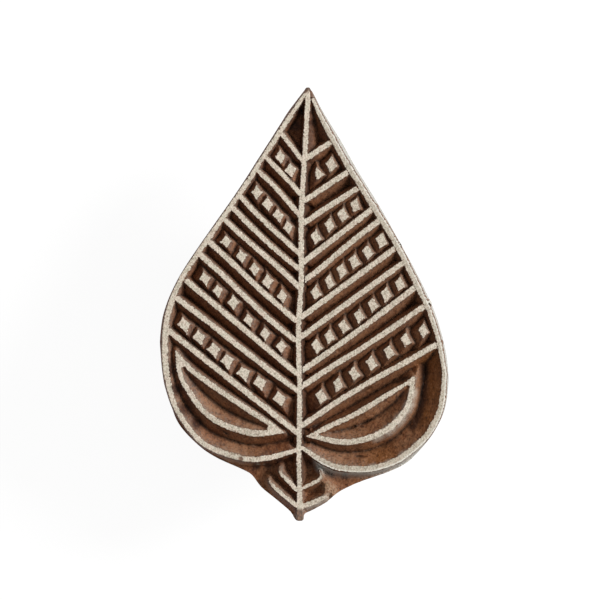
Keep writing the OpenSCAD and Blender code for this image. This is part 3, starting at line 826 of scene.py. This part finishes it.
def mixed(tree, share, first, second):
    """Two colours mixed by a share."""
    made = add_node(tree, "ShaderNodeMix", data_type="RGBA")
    for name, value in (("Factor", share), ("A", first), ("B", second)):
        socket = next(s for s in made.inputs if s.name == name and s.enabled)
        if isinstance(value, bpy.types.NodeSocket):
            tree.links.new(value, socket)
        else:
            socket.default_value = value
    return next(s for s in made.outputs if s.enabled)


def marked(tree, name):
    """A value that the mesh keeps at its points."""
    return add_node(tree, "ShaderNodeAttribute", attribute_name=name).outputs["Fac"]


def product(tree, first, second):
    """Two values multiplied."""
    return worked_out(tree, "MULTIPLY", first, second)


def weighted(tree, value, weight, rest):
    """A value times its weight, added to the rest."""
    return worked_out(tree, "MULTIPLY_ADD", value, weight, rest)


def broken_up(tree, mark, speckle, low, high):
    """A mark on the mesh, broken up by noise."""
    return product(tree, marked(tree, mark), between(tree, speckle, low, high))


def stained(tree, colour, stains):
    """A colour with stains laid over it in turn, each given by its share, its strength and its colour."""
    for share, strength, stain in stains:
        colour = mixed(tree, product(tree, share, strength), colour, stain)
    return colour


def wood_figure(tree, place, broad_per_mm, fibre_per_mm, broad_share, dark, light):
    """A hardwood's colour and its fibre. Dark and light are pairs of a place in the figure and a colour."""
    broad = grain_noise(tree, place, broad_per_mm, 5.0)
    fibre = grain_noise(tree, place, fibre_per_mm, 3.0)
    figure = weighted(tree, broad, broad_share, product(tree, fibre, 1 - broad_share))
    ramp = add_node(tree, "ShaderNodeValToRGB", {"Fac": figure})
    for stop, (position, colour) in zip(ramp.color_ramp.elements, (dark, light)):
        stop.position = position
        stop.color = colour
    return ramp.outputs["Color"], fibre


def add_bump(tree, shader, height, strength, distance):
    """Small unevenness of a surface, up to a distance in metres."""
    bump = add_node(tree, "ShaderNodeBump", {"Height": height, "Strength": strength, "Distance": distance})
    tree.links.new(bump.outputs["Normal"], shader.inputs["Normal"])


# Colours of the wood, from its own to what the dye and the saw left on it, and the colours of painted shade
dark_wood = (0.095, 0.027, 0.011, 1)
light_wood = (0.270, 0.102, 0.039, 1)
tan_wood = (0.30, 0.150, 0.074, 1)
golden_wood = (0.20, 0.068, 0.013, 1)
open_pore = (0.035, 0.013, 0.006, 1)
torn_wood = (0.46, 0.32, 0.21, 1)
bare_fleck = (0.32, 0.145, 0.068, 1)
saw_burn = (0.055, 0.019, 0.009, 1)
run_dye = (0.028, 0.010, 0.008, 1)
shaded_side_colour = (0.030, 0.009, 0.005, 1)
thick_dye_and_shade = (0.022, 0.007, 0.004, 1)
valley_shade = (0.010, 0.005, 0.003, 1)
edge_shade = (0.03, 0.012, 0.007, 1)
# Colours of the lime and of the painted highlights on the walls, and of the film on the tops
highlight_colour = (0.37, 0.31, 0.25, 1)
run_lime_highlight = (0.62, 0.62, 0.57, 1)
faded_lime = (0.52, 0.45, 0.37, 1)
greenish_lime = (0.67, 0.62, 0.49, 1)
pinkish_lime = (0.76, 0.63, 0.51, 1)
bright_lime = (0.90, 0.81, 0.68, 1)
thin_lime = (0.40, 0.33, 0.25, 1)
dull_lime = (0.36, 0.33, 0.26, 1)
corner_highlight = (0.93, 0.90, 0.80, 1)

block_finish, tree, shader, place = new_finish("carved_hardwood_limed_face")
wood_colour, fibre = wood_figure(
    tree, place, (0.5, 0.045, 0.5), (3.4, 0.18, 3.4), 0.6, (0.38, dark_wood), (0.62, light_wood))
pores = between(tree, grain_noise(tree, place, (5.0, 0.35, 5.0), 2.0), 0.64, 0.72)
patchy = grain_noise(tree, place, (0.9, 0.9, 0.9), 4.0, 0.6)
streaky = grain_noise(tree, place, (2.2, 2.2, 2.2), 4.0, 0.65)
mottle = grain_noise(tree, place, (1.9, 1.3, 1.9), 2.0, 0.6)
saw_mark = grain_noise(tree, place, (2.4, 2.4, 0.07), 3.0)
drip = grain_noise(tree, place, (0.35, 0.35, 0.05), 4.0)
inside_top = marked(tree, "inside_top")
lime_run_and_highlight = marked(tree, "lime_run_and_highlight")
run_down = product(tree, broken_up(tree, "sawn", drip, 0.42, 0.58), marked(tree, "near_face"))
valley_shade_share = weighted(tree, between(tree, patchy, 0.36, 0.56), 0.35, 0.62)
valley_shade_share = product(tree, marked(tree, "valley"), valley_shade_share)
# Painted shade: a dark line just below the edge of every top
under_edge_shade = product(tree, between(tree, inside_top, -0.5, -0.2), between(tree, streaky, 0.38, 0.58))
highlight_share = product(tree, broken_up(tree, "painted_highlight", streaky, 0.28, 0.6), weighted(tree, lime_run_and_highlight, -0.8, 1.0))
over_edge = product(tree, lime_run_and_highlight, between(tree, streaky, 0.28, 0.5))
over_edge = product(tree, over_edge, between(tree, inside_top, -0.22, -0.4))
wood_colour = stained(tree, wood_colour, [
    (broken_up(tree, "tanned", patchy, 0.3, 0.6), 0.75, tan_wood),
    (broken_up(tree, "golden", patchy, 0.2, 0.5), 0.9, golden_wood),
    (pores, 0.4, open_pore),
    (broken_up(tree, "crumbled", streaky, 0.35, 0.6), 0.8, torn_wood),
    # Fine flecks of dye and bare wood lie all over
    (between(tree, mottle, 0.46, 0.32), 0.7, thick_dye_and_shade),
    (between(tree, mottle, 0.52, 0.66), 0.6, bare_fleck),
    # The sides keep the marks of the saw, and dye that ran down from the face
    (broken_up(tree, "sawn", saw_mark, 0.42, 0.62), 0.6, saw_burn),
    (run_down, 1.0, run_dye),
    # Painted shade on the walls that face away from the window, in the valleys, at the marked places and
    # under the edges
    (broken_up(tree, "shaded_side", patchy, 0.25, 0.6), 0.8, shaded_side_colour),
    # The dark places are painted shade; the same dark colour also makes the real flecks of dye
    (broken_up(tree, "painted_shade", patchy, 0.2, 0.5), 0.85, thick_dye_and_shade),
    (valley_shade_share, 1.0, valley_shade),
    (under_edge_shade, 0.6, edge_shade),
    # Painted highlight on the walls that face the window; lime with a painted highlight ran over the right
    # edge, and lime fades below some lines
    (highlight_share, 0.85, highlight_colour),
    (over_edge, 0.92, run_lime_highlight),
    (broken_up(tree, "limed", streaky, 0.30, 0.54), 0.85, faded_lime),
])
# The lime on the tops is a film with frayed edges, with bare specks and rubbed ends
fray = grain_noise(tree, place, (1.7, 1.7, 1.7), 3.0, 0.7)
speck = grain_noise(tree, place, (3.2, 2.4, 3.2), 4.0, 0.75)
film_edge = weighted(tree, fray, -1.1, worked_out(tree, "ADD", inside_top, 0.54))
film = between(tree, film_edge, -0.06, 0.06)
film = product(tree, film, weighted(tree, between(tree, speck, 0.53, 0.66), -0.62, 1.0))
rubbed = weighted(tree, streaky, -0.6, worked_out(tree, "ADD", marked(tree, "bare"), 0.3))
film = product(tree, film, weighted(tree, between(tree, rubbed, 0.2, 0.7), -0.85, 1.0))
lime = mixed(tree, between(tree, patchy, 0.40, 0.60), greenish_lime, pinkish_lime)
lime = mixed(tree, between(tree, speck, 0.36, 0.56), bright_lime, lime)
worn_thin = weighted(tree, marked(tree, "tanned"), 0.6, 0.55)
dull = weighted(tree, marked(tree, "tanned"), 0.2, product(tree, marked(tree, "right_rim_top"), 0.22))
lime = stained(tree, lime, [
    (between(tree, streaky, 0.47, 0.62), worn_thin, thin_lime),
    (dull, 1.0, dull_lime),
    # Painted highlight: a bright line along the outer corner of the right rim
    (product(tree, between(tree, inside_top, 0.5, 0.2), lime_run_and_highlight), 0.8, corner_highlight),
])
tree.links.new(mixed(tree, film, wood_colour, lime), shader.inputs["Base Color"])
tree.links.new(weighted(tree, film, 0.2, 0.65), shader.inputs["Roughness"])
shader.inputs["Specular IOR Level"].default_value = 0.2
height = weighted(tree, streaky, 0.5, product(tree, fibre, 0.5))
height = weighted(tree, product(tree, marked(tree, "sawn"), saw_mark), 1.2, height)
add_bump(tree, shader, height, 0.5, 0.0004)
block.data.materials.append(block_finish)
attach(block, "root")
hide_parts("carved_block")


# Handle
# A separate grip of brown hardwood, shaped with rasp and gouge: a flat palm face, a finger cove all
# round, and a foot that lies on the block's back. Hands have polished its lips and left grime in the cove.

grip_low, grip_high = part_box("handle")
grip_top = grip_high.z / MM
grip_middle = (grip_low.y + grip_high.y) / 2 / MM
grip_half_width = grip_high.x / MM
grip_straight = (grip_high.y - grip_low.y) / 2 / MM - grip_half_width
palm_round = 3.5
cove_top = 25.0
cove_middle = 16.0
cove_foot = 7.0
cove_depth = 6.5
cove_radius = 9.48
recess_radius = 3.5
recess_floor = 1.8
# Knocks that the grip has had, with a radius and a depth
knocks = [
    ((15, 20, 2), 1.6, 0.35), ((-15, -22, 3), 1.8, 0.4), ((2, -43, 2.5), 2.2, 0.5),
    ((-13, 24, 26), 1.5, 0.3),
]

# The section as pairs of a height and how far it lies inside the grip's full width, from the foot down
lip = [(0.7, 0.0), (0.3, 0.1), (0.0, 0.32)]
section = [(grip_top, 0.4), (grip_top - 0.3, 0.12), (grip_top - 0.8, 0), (grip_top - 2.5, 0)]
section += [(cove_top + rise, inset) for rise, inset in lip]
for level in np.linspace(cove_top - 0.3, cove_foot + 0.3, 25):
    from_axis = math.sqrt(cove_radius**2 - (level - cove_middle)**2)
    section.append((level, from_axis - cove_radius + cove_depth))
section += [(cove_foot - rise, inset) for rise, inset in reversed(lip)]
section += [(5, 0), (palm_round, 0)]
for turn in np.radians(np.linspace(0, 90, 9)[1:]):
    section.append((palm_round * (1 - math.sin(turn)), palm_round * (1 - math.cos(turn))))

# Stations round the grip: how far along it, and which way is outwards
side_steps = 44
end_steps = 48
stations = []
for end, start_turn in ((1, 0), (-1, 180)):
    for share in np.arange(side_steps) / side_steps:
        stations.append((end * (2 * share - 1) * grip_straight, start_turn))
    for share in np.arange(end_steps) / end_steps:
        stations.append((end * grip_straight, start_turn + 180 * share))
along, turns = np.transpose(stations)
facing = np.column_stack([np.cos(np.radians(turns)), np.sin(np.radians(turns))])
spine_line = np.column_stack([np.zeros(len(along)), grip_middle + along])

grip_points = []
grip_faces = []
grime = []
polish = []
for ring, (level, inset) in enumerate(section):
    outer = spine_line + facing * (grip_half_width - inset)
    broad_wear = [abs(noise.noise((x / 9, y / 9, level / 6))) for x, y in outer]
    fine_wear = [abs(noise.noise((x / 3, y / 7, level / 1.5))) for x, y in outer]
    worn = 0.10 * np.array(broad_wear) + 0.07 * np.array(fine_wear)
    levels = np.full(len(outer), level)
    for middle, radius, sunk in knocks:
        away = np.linalg.norm(np.column_stack([outer, levels]) - middle, axis=1)
        worn += sunk * np.clip(1 - (away / radius)**2, 0, 1)
    grip_points.append(np.column_stack([outer - facing * worn[:, None], levels]))
    in_cove = cove_foot < level < cove_top
    grime.append(np.full(len(outer), min(1, inset / cove_depth) if in_cove else 0.0))
    near_lip = max(math.exp(-((level - edge) / 1.5)**2) for edge in (cove_top, cove_foot))
    polish.append(np.full(len(outer), 1.0 if level < palm_round else near_lip))
    here = ring_numbers(ring * len(outer), len(outer))
    if ring:
        grip_faces += ring_wall(before, here)
    before = here
foot_rings = [ring_numbers(0, len(stations))]
palm_rings = [here]
for middle in nail_middles:
    first = sum(len(p) for p in grip_points)
    edges = []
    for radius, level in (
        (recess_radius, 0), (recess_radius, recess_floor), (bore_radius, recess_floor),
        (bore_radius, grip_top),
    ):
        edges.append(ring_numbers(first + len(edges) * len(hole_turns), len(hole_turns)))
        grip_points.append(hole_ring(middle, radius, level))
    for lower, upper in zip(edges, edges[1:]):
        grip_faces += ring_wall(lower, upper)
    palm_rings.append(edges[0])
    foot_rings.append(edges[-1])
all_points = np.vstack(grip_points)
grip_faces += flat_face(all_points, foot_rings, bores)
recesses = [(middle, recess_radius) for middle in nail_middles]
grip_faces += [face[::-1] for face in flat_face(all_points, palm_rings, recesses)]

grip = add_piece("worn_grip", all_points, grip_faces, 40)
mark_points(grip, "grime", np.concatenate(grime))
mark_points(grip, "polish", np.concatenate(polish), 0.5)

dark_grip = (0.115, 0.042, 0.017, 1)
light_grip = (0.30, 0.135, 0.058, 1)
grip_pore = (0.04, 0.015, 0.007, 1)
hand_grime = (0.035, 0.016, 0.010, 1)
spilt_dye = (0.06, 0.018, 0.014, 1)
grip_finish, tree, shader, place = new_finish("worn_grip_hardwood")
wood_colour, fibre = wood_figure(
    tree, place, (0.42, 0.035, 0.42), (2.8, 0.14, 2.8), 0.65, (0.36, dark_grip), (0.64, light_grip))
pores = between(tree, grain_noise(tree, place, (4.5, 0.3, 4.5), 2.0), 0.63, 0.72)
patchy = grain_noise(tree, place, (0.22, 0.16, 0.3), 4.0, 0.6)
wood_colour = stained(tree, wood_colour, [
    (pores, 0.5, grip_pore),
    (broken_up(tree, "grime", patchy, 0.3, 0.6), 0.75, hand_grime),
    (between(tree, patchy, 0.58, 0.68), 0.5, spilt_dye),
])
tree.links.new(wood_colour, shader.inputs["Base Color"])
gloss = broken_up(tree, "polish", patchy, 0.65, 0.4)
tree.links.new(weighted(tree, gloss, -0.28, 0.7), shader.inputs["Roughness"])
shader.inputs["Specular IOR Level"].default_value = 0.35
add_bump(tree, shader, weighted(tree, fibre, 0.7, product(tree, pores, -0.6)), 0.3, 0.0002)
grip.data.materials.append(grip_finish)
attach(grip, "root")
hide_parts("handle")


# Tip nail
# A forged iron nail with a round, slightly domed head, driven through the grip into the block near the
# leaf's tip. Its head lies in a recess of the palm face, so that it doesn't touch the hand.

dark_iron = (0.075, 0.068, 0.062, 1)
worn_iron = (0.17, 0.155, 0.14, 1)
dark_rust = (0.065, 0.024, 0.012, 1)
fresh_rust = (0.19, 0.075, 0.03, 1)
nail_finish, tree, shader, place = new_finish("rusted_nail_iron")
scale = grain_noise(tree, place, (1.1, 1.1, 1.1), 5.0, 0.65)
pitting = grain_noise(tree, place, (4.0, 4.0, 4.0), 3.0)
rust = between(tree, scale, 0.44, 0.6)
worn_off = between(tree, pitting, 0.35, 0.65)
iron = mixed(tree, worn_off, dark_iron, worn_iron)
rust_colour = mixed(tree, worn_off, dark_rust, fresh_rust)
tree.links.new(mixed(tree, rust, iron, rust_colour), shader.inputs["Base Color"])
tree.links.new(weighted(tree, rust, -0.85, 0.9), shader.inputs["Metallic"])
tree.links.new(weighted(tree, rust, 0.35, 0.45), shader.inputs["Roughness"])
add_bump(tree, shader, weighted(tree, scale, 0.6, product(tree, pitting, 0.4)), 0.5, 0.0003)


def add_nail(name, node, seed):
    """A nail in the place of a node, with a hammered head."""
    low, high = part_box(node)
    middle = np.array([low.x + high.x, low.y + high.y]) / 2 / MM
    crown = low.z / MM
    tip = high.z / MM
    head_radius = (high.x - low.x) / 2 / MM
    profile = [
        (0.25, crown), (0.55, crown + 0.05), (0.8, crown + 0.2), (0.94, crown + 0.45), (1.0, crown + 0.75),
        (0.97, recess_floor), (0.4, recess_floor), (0.4, tip - 4), (0.2, tip - 1.8), (0.05, tip),
    ]
    points = [np.array([[middle[0], middle[1], crown]])]
    for share, level in profile:
        ring = hole_ring((0, 0), share * head_radius, level)
        uneven = [noise.noise((x / 1.6 + seed, y / 1.6, level)) for x, y, _ in ring]
        ring[:, :2] *= 1 - 0.06 * np.abs(uneven)[:, None]
        ring[:, :2] += middle
        points.append(ring)
    points.append(np.array([[middle[0], middle[1], tip]]))
    count = len(hole_turns)
    rings = [ring_numbers(1 + ring * count, count) for ring in range(len(profile))]
    last = 1 + count * len(profile)
    faces = [(0, rings[0][i], rings[0][i - 1]) for i in range(count)]
    faces += [(rings[-1][i - 1], rings[-1][i], last) for i in range(count)]
    for lower, upper in zip(rings, rings[1:]):
        faces += ring_wall(upper, lower)
    nail = add_piece(name, np.vstack(points), faces, 35)
    nail.data.materials.append(nail_finish)
    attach(nail, "root")
    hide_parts(node)


add_nail("forged_tip_nail", "tip_nail", 3.0)


# Stem nail
# The same forged iron nail, driven near the stem's end of the grip. The two nails are all that hold the
# grip on the block.

add_nail("forged_stem_nail", "stem_nail", 11.0)


# Stage
# A white floor that keeps only a faint shadow, an even white sky, and one large window light on the
# right. The camera looks straight down on the printing face.

floor_half = 1.5
floor_corners = [(x * floor_half, y * floor_half, 0) for x, y in ((-1, -1), (1, -1), (1, 1), (-1, 1))]
floor_mesh = bpy.data.meshes.new("floor")
floor_mesh.from_pydata(floor_corners, [], [(0, 1, 2, 3)])
floor = add_object("floor", floor_mesh)


def seen_directly(tree):
    """1 for the rays that show the background to the camera, or in a reflection."""
    ray = add_node(tree, "ShaderNodeLightPath").outputs
    mirrored = worked_out(tree, "MAXIMUM", ray["Is Glossy Ray"], ray["Is Transmission Ray"])
    return worked_out(tree, "MAXIMUM", ray["Is Camera Ray"], mirrored)


floor_grey = (0.16, 0.16, 0.16, 1)
floor_lift = 0.92
floor_finish = bpy.data.materials.new("white_floor")
floor_finish.use_nodes = True
tree = floor_finish.node_tree
tree.nodes.clear()
matt = add_node(tree, "ShaderNodeBsdfDiffuse", {"Color": floor_grey})
lift = add_node(tree, "ShaderNodeEmission", {"Strength": product(tree, seen_directly(tree), floor_lift)})
both = add_node(tree, "ShaderNodeAddShader", {0: matt.outputs[0], 1: lift.outputs[0]})
add_node(tree, "ShaderNodeOutputMaterial", {"Surface": both.outputs[0]})
floor.data.materials.append(floor_finish)

sky_light = 0.36
world = bpy.data.worlds.new("studio")
bpy.context.scene.world = world
world.use_nodes = True
tree = world.node_tree
tree.nodes.clear()
strength = weighted(tree, seen_directly(tree), 1 - sky_light, sky_light)
sky = add_node(tree, "ShaderNodeBackground", {"Color": (1, 1, 1, 1), "Strength": strength})
add_node(tree, "ShaderNodeOutputWorld", {"Surface": sky.outputs[0]})

window = bpy.data.lights.new("window", "AREA")
window.shape = "DISK"
window.size = 0.6
window.energy = 17
window_object = add_object("window", window)
window_object.location = (1.0, 0.35, 0.8)
aim = Vector((0, 0, block_high.z)) - window_object.location
window_object.rotation_euler = aim.to_track_quat("-Z", "Y").to_euler()

frame_width = 0.156
look_at = Vector((-0.0011, 0.00104, block_high.z))
camera_data = bpy.data.cameras.new("camera")
camera_data.lens = 200
camera_data.sensor_width = 36
camera_data.clip_end = 10
camera = add_object("camera", camera_data)
camera.location = look_at + Vector((0, 0, frame_width * camera_data.lens / camera_data.sensor_width))
bpy.context.scene.camera = camera
bpy.context.scene.view_settings.view_transform = "Standard"
